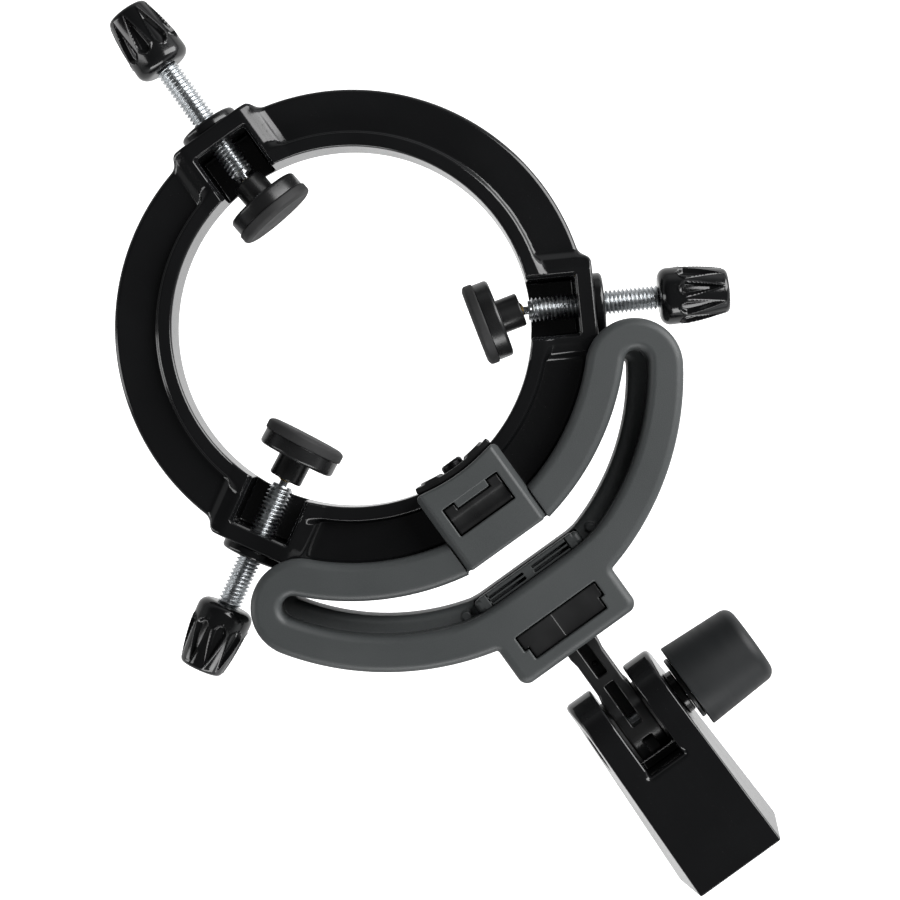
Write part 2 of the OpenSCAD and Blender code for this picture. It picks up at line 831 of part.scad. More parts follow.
// Round clamp knob on the hinge bolt
module hinge_knob() {
    base_r = 11;
    end_r = 9.9;
    length = 19.3;
    end_round = 2.8;
    color([0.2, 0.21, 0.22])
    translate([knob_at, -hinge_s, 0]) rotate([0, 90, 0]) difference() {
        rotate_extrude() difference() {
            union() {
                polygon([
                    [0, 0], [base_r, 0], [end_r, length - end_round],
                    [end_r - end_round, length], [0, length]
                ]);
                translate([end_r - end_round, length - end_round]) circle(end_round);
            }
            translate([-20, -1]) square([20, length + 2]);
        }
        translate([0, 0, insert_at - knob_at]) cylinder(r = insert_r, h = insert_l);
        translate([0, 0, -1]) cylinder(r = bolt_r + 0.4, h = bolt_end - knob_at + 2);
    }
}

// Brass insert nut moulded into the hinge knob
module knob_insert() {
    color([0.8, 0.65, 0.3])
    translate([insert_at, -hinge_s, 0]) rotate([0, 90, 0])
        tube(insert_r, bolt_r + gap, insert_l);
}

spigot_screw_r = 3;

// Socket set screw that clamps the stand's spigot
module spigot_screw() {
    length = 4.4;
    screw_s = block_end_s - socket_l / 2;
    color([0.15, 0.15, 0.16])
    translate([0, -screw_s, -block_d / 2 + 0.1]) difference() {
        cylinder(r = spigot_screw_r, h = length);
        translate([0, 0, -1]) cylinder(r = 1.7, h = 3.4, $fn = 6);
    }
}

// ---------- build ----------

ring();
bush(0);  // bush_top
bush(1);  // bush_left
bush(2);  // bush_right
screw_rod(0);  // screw_rod_top
screw_rod(1);  // screw_rod_left
screw_rod(2);  // screw_rod_right
thumb_knob(0);  // thumb_knob_top
thumb_knob(1);  // thumb_knob_left
thumb_knob(2);  // thumb_knob_right
swivel_ball(0);  // swivel_ball_top
swivel_ball(1);  // swivel_ball_left
swivel_ball(2);  // swivel_ball_right
pad(0);  // pad_top
pad(1);  // pad_left
pad(2);  // pad_right
pad_facing(0);  // pad_facing_top
pad_facing(1);  // pad_facing_left
pad_facing(2);  // pad_facing_right
yoke_shell();
yoke_frame();
slot_grille();
clip_cover();
clip_latch();
clip_saddle();
saddle_screw();
shell_screws();
arm();
arm_screws();
clevis_block();
hinge_bolt();
friction_washers();
thrust_washer();
hinge_knob();
knob_insert();
spigot_screw();
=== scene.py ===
"""Looks of the three-screw ring holder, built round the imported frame. Lengths here are in mm."""

import functools
import itertools
import json
import math

import bmesh
import bpy
import numpy as np
from mathutils import Matrix, Vector


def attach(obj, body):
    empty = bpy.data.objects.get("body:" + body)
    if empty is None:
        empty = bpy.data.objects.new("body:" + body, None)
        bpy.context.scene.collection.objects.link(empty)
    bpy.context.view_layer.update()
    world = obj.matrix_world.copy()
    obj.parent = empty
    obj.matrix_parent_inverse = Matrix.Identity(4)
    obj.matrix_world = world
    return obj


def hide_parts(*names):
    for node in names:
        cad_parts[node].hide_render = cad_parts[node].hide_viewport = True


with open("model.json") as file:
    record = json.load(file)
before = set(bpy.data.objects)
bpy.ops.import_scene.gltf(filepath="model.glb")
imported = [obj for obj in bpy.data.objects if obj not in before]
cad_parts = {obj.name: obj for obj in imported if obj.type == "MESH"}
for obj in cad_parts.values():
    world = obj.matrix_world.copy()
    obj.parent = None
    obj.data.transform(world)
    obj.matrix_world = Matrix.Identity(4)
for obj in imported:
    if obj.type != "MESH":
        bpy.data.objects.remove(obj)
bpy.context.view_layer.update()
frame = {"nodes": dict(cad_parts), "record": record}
MM = 0.001  # a millimetre in the scene's unit, the metre
SIDES = {"top": 90, "left": 210, "right": 330}  # the screws' places round the ring, in degrees
TINY = 1e-6  # lengths and radii below this count as zero

# ------------------------------------------------------------ fields
# A field is negative inside the solid. The functions below join and cut fields.


def both(a, b, r):
    """Where a and b overlap, with the shared edge rounded to radius r."""
    u, v = np.maximum(r + a, 0), np.maximum(r + b, 0)
    return np.minimum(-r, np.maximum(a, b)) + np.hypot(u, v)


def either(a, b, r):
    """a and b together, with a fillet of radius r where they meet."""
    u, v = np.maximum(r - a, 0), np.maximum(r - b, 0)
    return np.maximum(r, np.minimum(a, b)) - np.hypot(u, v)


def cut(a, b, r):
    """a without b, with the cut's edge rounded to radius r."""
    return both(a, -b, r)


def common(*fields):
    """Where all the fields overlap, with sharp edges."""
    return functools.reduce(np.maximum, fields)


def drill(a, b):
    """a without b, with sharp edges."""
    return np.maximum(a, -b)


def block(x, y, x0, x1, y0, y1, r=0.0):
    """A rectangle between two corners, with round corners."""
    p = np.abs(x - (x0 + x1) / 2) - (x1 - x0) / 2 + r
    q = np.abs(y - (y0 + y1) / 2) - (y1 - y0) / 2 + r
    return np.hypot(np.maximum(p, 0), np.maximum(q, 0)) + np.minimum(np.maximum(p, q), 0) - r


def slab(z, z0, z1):
    """The layer between two heights."""
    return np.abs(z - (z0 + z1) / 2) - (z1 - z0) / 2


def blend01(t):
    """A smooth step from 0 to 1."""
    t = np.clip(t, 0, 1)
    return t * t * (3 - 2 * t)


def polar(angle):
    """Cosine and sine of an angle in degrees."""
    return math.cos(math.radians(angle)), math.sin(math.radians(angle))


def crescent(x, y, r_in, r_out, s, r):
    """A crescent below the ring between two circles, the outer one centred at y = -s.

    Its two ends are round, with radius r and their centres at (ct, cs) and its mirror image.
    """
    cs = ((r_in + r) ** 2 - (r_out - r) ** 2 + s * s) / (2 * s)
    ct = math.sqrt((r_in + r) ** 2 - cs * cs)
    t, d = np.abs(x), -y
    body = np.maximum(np.hypot(t, d - s) - r_out, r_in - np.hypot(t, d))
    inner_side = np.hypot(t, d) < r_in + r
    past = np.where(inner_side, t * cs - d * ct, t * (cs - s) - (d - s) * ct) > 0
    return np.where(past, np.hypot(t - ct, d - cs) - r, body)


def solve(field, p, passes, limit):
    """Moves points onto the field's surface, and returns them with the surface normals.

    Each pass moves a point by no more than limit.
    """
    h = 0.04  # the slope is measured over twice this distance
    for i in range(passes + 1):
        f = field(p[:, 0], p[:, 1], p[:, 2])
        g = np.empty_like(p)
        for axis in range(3):
            e = np.zeros(3)
            e[axis] = h
            hi, lo = p + e, p - e
            g[:, axis] = (field(*hi.T) - field(*lo.T)) / (2 * h)
        size = np.maximum(np.linalg.norm(g, axis=1, keepdims=True), TINY)
        if i < passes:
            p = p - np.clip(f[:, None] / size, -limit, limit) * g / size
    return p, g / size


def net(field, low, high, step):
    """Closed mesh of a field between two corners. Each crossed cell has one vertex."""
    margin = 1.5 * step
    low, high = np.array(low) - margin, np.array(high) + margin
    n = np.ceil((high - low) / step).astype(int) + 1
    x, y, z = (low[i] + step * np.arange(n[i]) for i in range(3))
    f = field(x[:, None, None], y[None, :, None], z[None, None, :])
    f = np.broadcast_to(f, n).astype(np.float32)
    inside = f < 0
    corners = list(itertools.product((0, 1), repeat=3))
    count = np.zeros(n - 1, np.int8)
    for i, j, k in corners:
        count += inside[i : n[0] - 1 + i, j : n[1] - 1 + j, k : n[2] - 1 + k]
    cell = np.argwhere((count > 0) & (count < 8))
    value = np.stack([f[tuple((cell + c).T)] for c in corners], 1)
    # the vertex is the mean of the points where the cell's edges cross the surface
    total, hits = np.zeros((len(cell), 3)), np.zeros(len(cell))
    for a, b in itertools.combinations(range(8), 2):
        ca, cb = np.array(corners[a]), np.array(corners[b])
        if np.abs(ca - cb).sum() != 1:
            continue
        va, vb = value[:, a], value[:, b]
        hit = (va < 0) != (vb < 0)
        t = np.where(hit, va / np.where(hit, va - vb, 1), 0)
        total += np.where(hit[:, None], ca + t[:, None] * (cb - ca), 0)
        hits += hit
    points = low + step * (cell + total / hits[:, None])
    index = np.full(n - 1, -1, np.int32)
    index[tuple(cell.T)] = np.arange(len(cell))
    quads = []
    for axis in range(3):
        u, v = (axis + 1) % 3, (axis + 2) % 3
        ahead = np.roll(inside, -1, axis)
        edge = np.argwhere(inside != ahead)
        edge = edge[(edge[:, axis] < n[axis] - 1) & (edge[:, u] > 0) & (edge[:, v] > 0)]
        solid = inside[tuple(edge.T)]
        du, dv = np.eye(3, dtype=int)[u], np.eye(3, dtype=int)[v]
        quad = np.stack([index[tuple((edge - d).T)] for d in (du + dv, dv, 0 * du, du)], 1)
        quads.append(np.where(solid[:, None], quad, quad[:, ::-1]))
    return points, np.concatenate(quads)


def fill_mesh(mesh, points, faces):
    """Vertices in mm and faces of one size into a mesh."""
    faces = np.asarray(faces)
    size = faces.shape[1]
    mesh.vertices.add(len(points))
    mesh.vertices.foreach_set("co", (np.asarray(points) * MM).astype(np.float32).ravel())
    mesh.loops.add(faces.size)
    mesh.loops.foreach_set("vertex_index", faces.astype(np.int32).ravel())
    mesh.polygons.add(len(faces))
    mesh.polygons.foreach_set("loop_start", np.arange(0, faces.size, size, dtype=np.int32))
    mesh.update(calc_edges=True)
    mesh.validate()


def mesh_points(mesh):
    """The mesh's vertices, in mm."""
    co = np.empty(len(mesh.vertices) * 3)
    mesh.vertices.foreach_get("co", co)
    return co.reshape(-1, 3) / MM


def add_object(name, data):
    """A new object in the scene."""
    item = bpy.data.objects.new(name, data)
    bpy.context.scene.collection.objects.link(item)
    return item


def add_piece(mesh, name, body, node, material):
    """A mesh in the row frame becomes a piece that stands for one CAD node."""
    piece = add_object(name, mesh)
    mesh.materials.append(MATERIALS[material])
    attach(piece, body)
    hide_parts(node)
    return piece


KEEP = 0.5  # share of a carved mesh's faces that stays when it is thinned


def carve(node, body, material, field, low, high, step):
    """A piece from a field. Its faces are thinned, and its normals are the field's own."""
    points, quads = net(field, low, high, step)
    points, _ = solve(field, points, 2, step / 2)
    raw = bpy.data.meshes.new(node + "_raw")
    fill_mesh(raw, points, quads)
    holder = add_object(node + "_raw", raw)
    holder.modifiers.new("thin", "DECIMATE").ratio = KEEP
    bpy.context.view_layer.update()
    depsgraph = bpy.context.evaluated_depsgraph_get()
    mesh = bpy.data.meshes.new_from_object(holder.evaluated_get(depsgraph))
    bpy.data.objects.remove(holder)
    bpy.data.meshes.remove(raw)
    mesh.name = node + "_skin"
    smooth_by_field(mesh, field, step)
    return add_piece(mesh, node + "_skin", body, node, material)


def smooth_by_field(mesh, field, step):
    """Puts vertices and normals on the field, except where an edge bends the normals apart."""
    points, normals = solve(field, mesh_points(mesh), 1, step / 4)
    mesh.vertices.foreach_set("co", (points * MM).astype(np.float32).ravel())
    mesh.update()
    mesh.shade_smooth()
    own = np.empty(len(mesh.vertices) * 3, np.float32)
    mesh.vertex_normals.foreach_get("vector", own)
    own = own.reshape(-1, 3)
    agree = (own * normals).sum(1, keepdims=True) > 0.5
    mesh.normals_split_custom_set_from_vertices(np.where(agree, normals, own).tolist())


# ------------------------------------------------------------ turned pieces


def fillet(corners, steps=6):
    """Closed outline of (radius, along, rounding) corners, with an arc at each rounded corner."""
    out = []
    count = len(corners)
    for i in range(count):
        here = np.array(corners[i][:2], float)
        r = corners[i][2]
        if r == 0:
            out.append(here)
            continue
        to_prev = np.array(corners[i - 1][:2], float) - here
        to_next = np.array(corners[(i + 1) % count][:2], float) - here
        to_prev /= np.linalg.norm(to_prev)
        to_next /= np.linalg.norm(to_next)
        half = math.acos(np.clip(to_prev @ to_next, -1, 1)) / 2
        middle = to_prev + to_next
        middle /= np.linalg.norm(middle)
        centre = here + middle * r / math.sin(half)
        a = here + to_prev * r / math.tan(half) - centre
        b = here + to_next * r / math.tan(half) - centre
        for k in range(steps + 1):
            p = a * (1 - k / steps) + b * k / steps
            out.append(centre + p / np.linalg.norm(p) * r)
    return np.array(out)


def axis_matrix(origin, angle):
    """Puts local zero at origin, and local +X along an angle in the ring's plane."""
    return Matrix.Translation(Vector(origin) * MM) @ Matrix.Rotation(math.radians(angle), 4, "Z")


def grid_faces(rows, around):
    """Quads of a grid that closes in both directions."""
    i, j = np.meshgrid(np.arange(rows), np.arange(around), indexing="ij")
    i, j = i.ravel(), j.ravel()
    i2, j2 = (i + 1) % rows, (j + 1) % around
    return np.stack([i * around + j, i2 * around + j, i2 * around + j2, i * around + j2], 1)


def close_axis(work):
    """Makes one vertex of each row that lies on the axis, and removes the faces this flattens."""
    same_place, no_length, no_area = 1e-6, 1e-7, 1e-14
    bmesh.ops.remove_doubles(work, verts=work.verts, dist=same_place)
    bmesh.ops.dissolve_degenerate(work, edges=work.edges, dist=no_length)
    flat = [f for f in work.faces if f.calc_area() < no_area]
    bmesh.ops.delete(work, geom=flat, context="FACES_ONLY")


def face_out(work):
    """Turns every face outwards."""
    bmesh.ops.recalc_face_normals(work, faces=work.faces)


def change(mesh, step):
    """Applies one of the two steps above to a mesh."""
    work = bmesh.new()
    work.from_mesh(mesh)
    step(work)
    work.to_mesh(mesh)
    work.free()


def turned(node, body, material, outline, matrix, around=96, wave=None, hard=38):
    """A closed outline of (radius, along) turned round local X.

    wave(along, angle, radius) changes the radius. Edges that bend more than hard degrees stay
    sharp.
    """
    angle = np.linspace(0, 2 * math.pi, around, endpoint=False)
    radius = np.repeat(outline[:, :1], around, 1)
    along = np.repeat(outline[:, 1:2], around, 1)
    if wave:
        radius = wave(along, angle[None, :], radius)
    points = np.stack([along, radius * np.cos(angle), radius * np.sin(angle)], -1).reshape(-1, 3)
    mesh = bpy.data.meshes.new(node + "_skin")
    fill_mesh(mesh, points, grid_faces(len(outline), around))
    if (outline[:, 0] < TINY).any():
        change(mesh, close_axis)
    mesh.transform(matrix)
    mesh.update()
    change(mesh, face_out)
    mesh.shade_smooth()
    mesh.set_sharp_from_angle(angle=math.radians(hard))
    return add_piece(mesh, node + "_skin", body, node, material)


# ------------------------------------------------------------ materials


class Nodes:
    """Short calls for the node tree of a material or a world."""

    def __init__(self, owner, surface="Principled BSDF", coordinate="Object"):
        owner.use_nodes = True
        self.owner = owner
        self.tree = owner.node_tree
        self.surface = self.tree.nodes[surface]
        self.place = self.new("ShaderNodeTexCoord").outputs[coordinate]

    def new(self, kind, **inputs):
        node = self.tree.nodes.new(kind)
        for key, value in inputs.items():
            self.put(node, key.replace("_", " "), value)
        return node

    def put(self, node, key, value):
        if isinstance(value, bpy.types.NodeSocket):
            self.tree.links.new(value, node.inputs[key])
        else:
            node.inputs[key].default_value = value

    def noise(self, scale, detail=3.0, roughness=0.5, stretch=None):
        """Noise from 0 to 1. The scale is in cells per metre."""
        place = self.place
        if stretch:
            mapping = self.new("ShaderNodeMapping", Vector=place)
            mapping.inputs["Scale"].default_value = stretch
            place = mapping.outputs["Vector"]
        node = self.new(
            "ShaderNodeTexNoise", Vector=place, Scale=scale, Detail=detail, Roughness=roughness
        )
        return node.outputs["Fac"]

    def cells(self, scale, output="Distance"):
        return self.new("ShaderNodeTexVoronoi", Vector=self.place, Scale=scale).outputs[output]

    def ramp(self, value, low, high, out_low, out_high, kind="LINEAR"):
        node = self.tree.nodes.new("ShaderNodeMapRange")
        node.interpolation_type = kind
        for key, item in enumerate((value, low, high, out_low, out_high)):
            self.put(node, key, item)
        return node.outputs["Result"]

    def spread(self, noise, low, high):
        """A noise's usual values spread from low to high."""
        return self.ramp(noise, 0.3, 0.7, low, high)

    def mix(self, factor, first, second):
        """Two colours, each a socket or three numbers, mixed by a factor."""
        node = self.tree.nodes.new("ShaderNodeMix")
        node.data_type = "RGBA"
        self.put(node, 0, factor)
        for key, colour in ((6, first), (7, second)):
            plain = not isinstance(colour, bpy.types.NodeSocket)
            self.put(node, key, (*colour, 1) if plain else colour)
        return node.outputs[2]

    def maths(self, operation, a, b):
        node = self.tree.nodes.new("ShaderNodeMath")
        node.operation = operation
        self.put(node, 0, a)
        self.put(node, 1, b)
        return node.outputs[0]

    def bump(self, height, strength, depth, normal=None):
        """Relief of a depth in mm."""
        node = self.new("ShaderNodeBump", Height=height, Strength=strength, Distance=depth * MM)
        if normal is not None:
            self.put(node, "Normal", normal)
        return node.outputs["Normal"]

    def finish(self, **inputs):
        for key, value in inputs.items():
            self.put(self.surface, key.replace("_", " "), value)
        return self.owner


def paint(name):
    """The node tree of a new material."""
    return Nodes(bpy.data.materials.new(name))


def gloss_black():
    """Polished black moulding: slow waviness, faint clouds, fine scratches, a few dull specks."""
    n = paint("gloss_black")
    cloud = n.noise(60, 4)
    scratch = n.noise(900, 2, 0.6, stretch=(1, 0.05, 1))
    speck = n.ramp(n.noise(1500, 2), 0.66, 0.72, 0, 1)
    rough = n.maths("ADD", n.spread(cloud, 0.10, 0.16), n.ramp(scratch, 0.55, 0.75, 0, 0.05))
    rough = n.maths("ADD", rough, n.maths("MULTIPLY", speck, 0.12))
    tint = n.mix(cloud, (0.0042, 0.0043, 0.0046), (0.0075, 0.0077, 0.0082))
    wave = n.bump(n.noise(130, 2), 0.25, 0.08)
    skin = n.bump(n.noise(2600, 2), 0.10, 0.01, wave)
    return n.finish(Base_Color=tint, Roughness=rough, Normal=skin, Specular_IOR_Level=0.5)


def satin_grey():
    """Spark-eroded grey moulding: fine grain, tiny bright facets, slightly polished high spots."""
    n = paint("satin_grey")
    cloud = n.noise(45, 4)
    grain = n.noise(3800, 3, 0.65)
    pit = n.cells(3000)
    tint = n.mix(cloud, (0.034, 0.0375, 0.0382), (0.046, 0.0500, 0.0508))
    tint = n.mix(n.ramp(grain, 0.35, 0.75, 0, 0.35), tint, (0.066, 0.0715, 0.0722))
    rough = n.maths("ADD", n.spread(cloud, 0.44, 0.52), n.ramp(pit, 0, 0.6, 0.08, 0))
    relief = n.bump(grain, 0.35, 0.06)
    relief = n.bump(pit, 0.15, 0.05, relief)
    return n.finish(Base_Color=tint, Roughness=rough, Normal=relief, Specular_IOR_Level=0.5)


def satin_knob():
    """Darker grey knob: smooth satin with faint turning marks and handling shine."""
    n = paint("satin_knob")
    cloud = n.noise(70, 3)
    grain = n.noise(4200, 2, 0.6)
    ring = n.noise(700, 2, 0.5, stretch=(1, 0.03, 0.03))
    tint = n.mix(cloud, (0.0058, 0.0068, 0.0076), (0.0080, 0.0092, 0.0102))
    rough = n.maths("ADD", n.spread(cloud, 0.46, 0.56), n.ramp(ring, 0.4, 0.7, 0, 0.05))
    relief = n.bump(grain, 0.22, 0.04)
    return n.finish(Base_Color=tint, Roughness=rough, Normal=relief, Specular_IOR_Level=0.4)


def moulded_black(name="moulded_black", low=0.26, high=0.40, shade=0.0095):
    """Semi-gloss black moulding with a light grain and flow streaks."""
    n = paint(name)
    cloud = n.noise(80, 4)
    streak = n.noise(300, 3, 0.6, stretch=(1, 0.12, 1))
    tint = n.mix(cloud, [shade * 0.8] * 3, (shade * 1.3, shade * 1.33, shade * 1.4))
    rough = n.maths("ADD", n.spread(cloud, low, high), n.ramp(streak, 0.5, 0.8, 0, 0.06))
    relief = n.bump(n.noise(2400, 3), 0.18, 0.03)
    return n.finish(Base_Color=tint, Roughness=rough, Normal=relief)


def pad_rubber():
    """Matte rubber: dusty, finely grained, a little lighter where it is rubbed."""
    n = paint("pad_rubber")
    cloud = n.noise(160, 4)
    grain = n.noise(3000, 3, 0.7)
    tint = n.mix(cloud, (0.010, 0.010, 0.0105), (0.017, 0.017, 0.0175))
    tint = n.mix(n.ramp(grain, 0.55, 0.8, 0, 0.4), tint, (0.04, 0.04, 0.04))
    rough = n.spread(cloud, 0.62, 0.78)
    relief = n.bump(grain, 0.3, 0.06)
    return n.finish(Base_Color=tint, Roughness=rough, Normal=relief)


def zinc_steel():
    """Bright zinc plate: fine crystals, drawn lines and slight clouding."""
    n = paint("zinc_steel")
    cloud = n.noise(500, 4)
    crystal = n.cells(2600, "Color")
    tint = n.mix(cloud, (0.50, 0.52, 0.54), (0.72, 0.74, 0.75))
    bright = n.new("ShaderNodeRGBToBW", Color=crystal).outputs[0]
    rough = n.maths("ADD", n.spread(cloud, 0.20, 0.32), n.ramp(bright, 0, 1, 0, 0.06))
    relief = n.bump(n.noise(3500, 3), 0.25, 0.03)
    return n.finish(Base_Color=tint, Metallic=1.0, Roughness=rough, Normal=relief)


def black_screw():
    """Black oxide steel with worn grey high spots."""
    n = paint("black_screw")
    cloud = n.noise(900, 4)
    tint = n.mix(n.ramp(cloud, 0.5, 0.8, 0, 1), (0.012, 0.012, 0.013), (0.06, 0.06, 0.062))
    rough = n.spread(cloud, 0.25, 0.42)
    relief = n.bump(n.noise(4000, 2), 0.2, 0.02)
    return n.finish(Base_Color=tint, Metallic=0.8, Roughness=rough, Normal=relief)


def washer_polymer():
    """Plain dark acetal."""
    n = paint("washer_polymer")
    cloud = n.noise(400, 3)
    tint = n.mix(cloud, (0.03, 0.03, 0.03), (0.05, 0.05, 0.05))
    rough = n.spread(cloud, 0.35, 0.5)
    relief = n.bump(n.noise(3000, 2), 0.2, 0.03)
    return n.finish(Base_Color=tint, Roughness=rough, Normal=relief)


def brass_insert():
    """Turned brass, slightly tarnished."""
    n = paint("brass_insert")
    cloud = n.noise(700, 4)
    tint = n.mix(cloud, (0.55, 0.38, 0.13), (0.78, 0.60, 0.28))
    rough = n.spread(cloud, 0.22, 0.36)
    relief = n.bump(n.noise(2500, 2), 0.2, 0.02)
    return n.finish(Base_Color=tint, Metallic=1.0, Roughness=rough, Normal=relief)


MATERIALS = {
    "gloss_black": gloss_black(),
    "satin_grey": satin_grey(),
    "satin_knob": satin_knob(),
    "moulded_black": moulded_black(),
    "pad_black": moulded_black("pad_black", 0.22, 0.32, 0.009),
    "pad_rubber": pad_rubber(),
    "zinc_steel": zinc_steel(),
    "black_screw": black_screw(),
    "washer_polymer": washer_polymer(),
    "brass_insert": brass_insert(),
}

# ------------------------------------------------------------ ring

RING_R, HOLE_R, LIP_R = 57.0, 43.0, 46.6
BACK_Z, FLANGE_Z, LIP_Z = -8.0, 5.5, 8.0
WALL = 2.6
DISH = 0.16  # how deep the flange sinks between its edges
CHANNEL_R, CHANNEL_HALF = 50.1, 4.3
RIB_FROM, RIB_STEP, RIB_HALF, RIB_Z = 10.0, 20.0, 1.0, -6.0
SEAT_HALF, SEAT_FROM = 7.0, 40.0
BOSS_R, BOSS_HALF, SHOULDER_HALF = 58.4, 11.6, 8.3
POCKET_R, POCKET_HALF, MOUTH, MOUTH_DEPTH = 54.0, 7.3, 0.75, 1.6
BUSH_R = 5.0
SADDLE_SCREW_R = 1.6


def ring_field(x, y, z):
    rho = np.hypot(x, y)
    middle = (rho - (LIP_R + RING_R) / 2) / ((RING_R - LIP_R) / 2)
    dish = DISH * np.clip(1 - middle * middle, 0, 1)
    body = both(rho - RING_R, z - FLANGE_Z + dish, 1.2)
    lip = both(rho - LIP_R, z - LIP_Z, 0.7)
    body = either(body, lip, 0.7)
    body = both(body, BACK_Z - z, 0.4)
    # channel in the back, left solid at the ribs and where the clip sits
    channel = common(np.abs(rho - CHANNEL_R) - CHANNEL_HALF, z - FLANGE_Z + WALL)
    turn = np.degrees(np.arctan2(y, x))
    off = np.abs((turn - RIB_FROM + RIB_STEP / 2) % RIB_STEP - RIB_STEP / 2)
    rib = common(np.sin(np.radians(off)) * rho - RIB_HALF, RIB_Z - z)
    seat = common(np.abs(x) - SEAT_HALF, y + SEAT_FROM, RIB_Z - z)
    channel = cut(cut(channel, rib, 0.3), seat, 0.3)
    body = cut(body, channel, 0.3)
    for angle in SIDES.values():
        c, s = polar(angle)
        u, v = x * c + y * s, np.abs(y * c - x * s)
        shoulder = ((v - SHOULDER_HALF) * 1.1 + (z - LIP_Z) * 2.5) / 2.73
        top = both(z - LIP_Z, shoulder, 0.35)
        plan = both(v - BOSS_HALF, u - BOSS_R, 1.8)
        boss = both(both(plan, top, 0.7), BACK_Z - z, 0.5)
        boss = common(boss, HOLE_R - 1 - u)
        body = either(body, boss, 2.2)
        body = common(body, BACK_Z - z)
    body = both(body, HOLE_R - rho, 0.7)
    for angle in SIDES.values():
        c, s = polar(angle)
        u, v = x * c + y * s, y * c - x * s
        # the pocket widens slightly towards its mouth
        mouth = MOUTH * blend01((z - LIP_Z + MOUTH_DEPTH) / MOUTH_DEPTH)
        pocket = both(np.abs(v) - POCKET_HALF - mouth + 0.4, u - POCKET_R - mouth * 0.6, 0.8)
        pocket = both(pocket, BACK_Z + WALL - z, 0.8)
        pocket = common(pocket, 30 - u)
        bush_hole = common(np.hypot(v, z) - BUSH_R, 52 - u)
        body = cut(cut(body, pocket, 0.25), bush_hole, 0.2)
    return cut(body, common(np.hypot(x, z) - SADDLE_SCREW_R, y + 30), 0.2)


# ------------------------------------------------------------ yoke
# In the pieces below the ring, d is the distance from the ring's centre towards the block.

SHELL_Z, SHELL_TOP, SHELL_WALL = 8.2, 14.2, 2.4
CLIP_HALF, CLIP_FROM, CLIP_TO, CLIP_TOP = 11.6, 41.8, 63.7, 15.6
PLATE_HALF, PLATE_FROM, PLATE_TO = 16.6, 76.0, 93.5
# the shell screws, as distance across and d, and the arm screws, as d
SHELL_SCREWS = [(33.4, 69.6), (19.5, 76.8)]
ARM_SCREWS = (81.0, 87.5)
PILOT_R, HEAD_R = 1.25, 2.4
FRAME_Z, LEDGE_Z = -8.0, 4.6
TONGUE_Z = -10.6
ARM_HALF, ARM_BACK_Z = 4.2, -6.0
GRILLE_HALF, GRILLE_FROM, GRILLE_TO, GRILLE_TOP = 15.0, 70.3, 73.7, 8.4


def from_screw(x, d, at):
    """Distance from the nearer one of two screws that stand left and right of the middle."""
    return np.hypot(np.abs(x) - at[0], d - at[1])


def window(x, d, grow=0.0):
    """The plate's window and, a little smaller, the head that fills it."""
    wide = block(x, d, -11.6 - grow, 11.6 + grow, 82.5 - grow, 86.6 + grow, 0.3)
    low = block(x, d, -10.4 - grow, 10.4 + grow, 82.5 - grow, 89.55 + grow, 0.3)
    return np.minimum(wide, low)


def shell_slot(x, y):
    """The slot's outline in the shell, straight in the middle."""
    return both(crescent(x, y, 65.2, 63.1, 12.7, 2.9), -y - 73.8, 1.2)


def shell_field(x, y, z):
    d = -y
    plate = block(x, d, -PLATE_HALF, PLATE_HALF, PLATE_FROM, PLATE_TO, 2.5)
    outline = either(crescent(x, y, 56.3, 70.4, 14.3, 11.55), plate, 0.5)
    slot = shell_slot(x, y)
    # the rails' edges are softly rolled
    solid = both(outline, z - SHELL_TOP, 2.0)
    solid = cut(solid, slot, 1.9)
    solid = cut(solid, window(x, d), 0.25)
    clip_room = block(x, d, -CLIP_HALF, CLIP_HALF, 40, CLIP_TO + 2)
    solid = cut(solid, clip_room, 0.2)
    # hollow below the top, with solid plate, clip bed and screw posts
    clip_bed = CLIP_HALF + SHELL_WALL
    inner = common(
        outline + SHELL_WALL,
        SHELL_WALL - slot,
        -block(x, d, -PLATE_HALF, PLATE_HALF, 63, PLATE_TO),
        -block(x, d, -clip_bed, clip_bed, 44, 65),
    )
    for at in SHELL_SCREWS:
        inner = common(inner, 2.6 - from_screw(x, d, at))
    inner = np.minimum(inner, block(x, d, -12.6, 12.6, 81.8, 90.2, 0.5))
    roof = SHELL_TOP - SHELL_WALL
    solid = cut(solid, common(inner, z - roof), 0.3)
    for at in SHELL_SCREWS:
        solid = drill(solid, common(from_screw(x, d, at) - PILOT_R, z - roof))
    return both(solid, SHELL_Z - z, 0.3)


